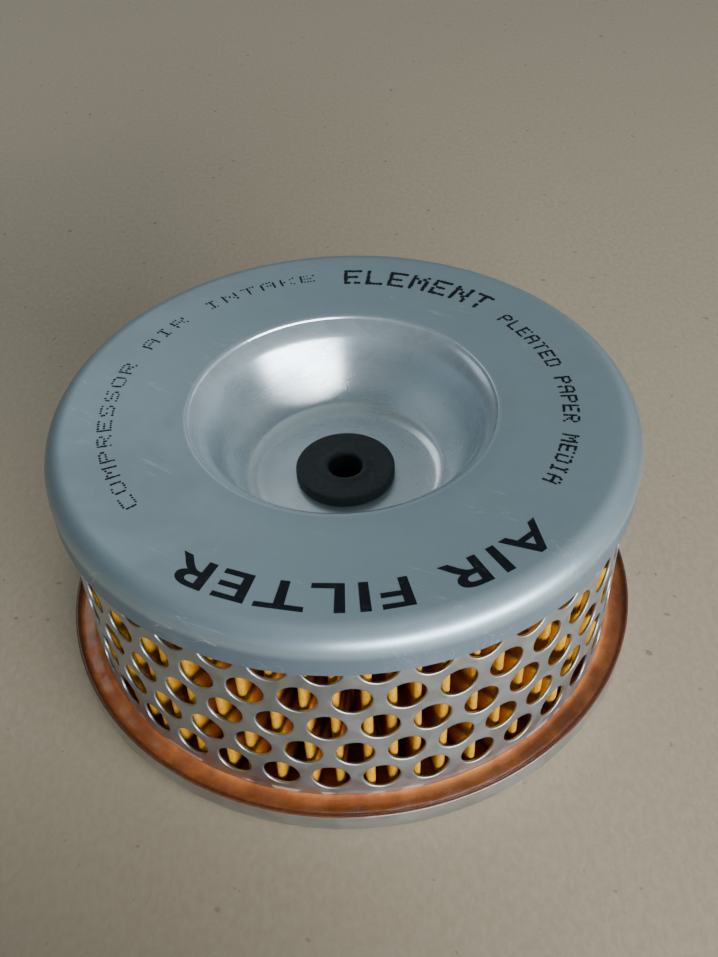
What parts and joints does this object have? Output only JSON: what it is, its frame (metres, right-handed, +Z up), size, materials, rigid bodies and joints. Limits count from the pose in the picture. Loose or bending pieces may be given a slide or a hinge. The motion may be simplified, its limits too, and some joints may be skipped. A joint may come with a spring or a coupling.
{
  "type": "compressed air filter",
  "caption": "Round pleated-paper air filter element: dished metal top cap with a rubber-bushed stud hole, perforated tube round orange paper, shallow pan with an open outlet.",
  "frame": {"origin": "on the element's axis, in the plane that the bottom gasket rests on", "axes": "+Z up along the axis, from the open outlet towards the dished cap; the liner's welded seam is at +Y"},
  "size_m": [0.1482, 0.1482, 0.064],
  "materials": {
    "galvanised_sheet": "satin",
    "perforated_sheet": "satin",
    "rubber": "matt",
    "filter_paper": "matt",
    "clip_metal": "satin",
    "potting": "gloss"
  },
  "bodies": {
    "root": {"top_end_cap": "galvanised_sheet", "stud_grommet": "rubber", "outer_liner": "perforated_sheet", "inner_liner": "perforated_sheet", "pleated_media": "filter_paper", "media_seam_clip": "clip_metal", "top_potting": "potting", "bottom_end_cap": "galvanised_sheet", "bottom_potting": "potting", "bottom_gasket": "rubber"}
  },
  "joints": []
}
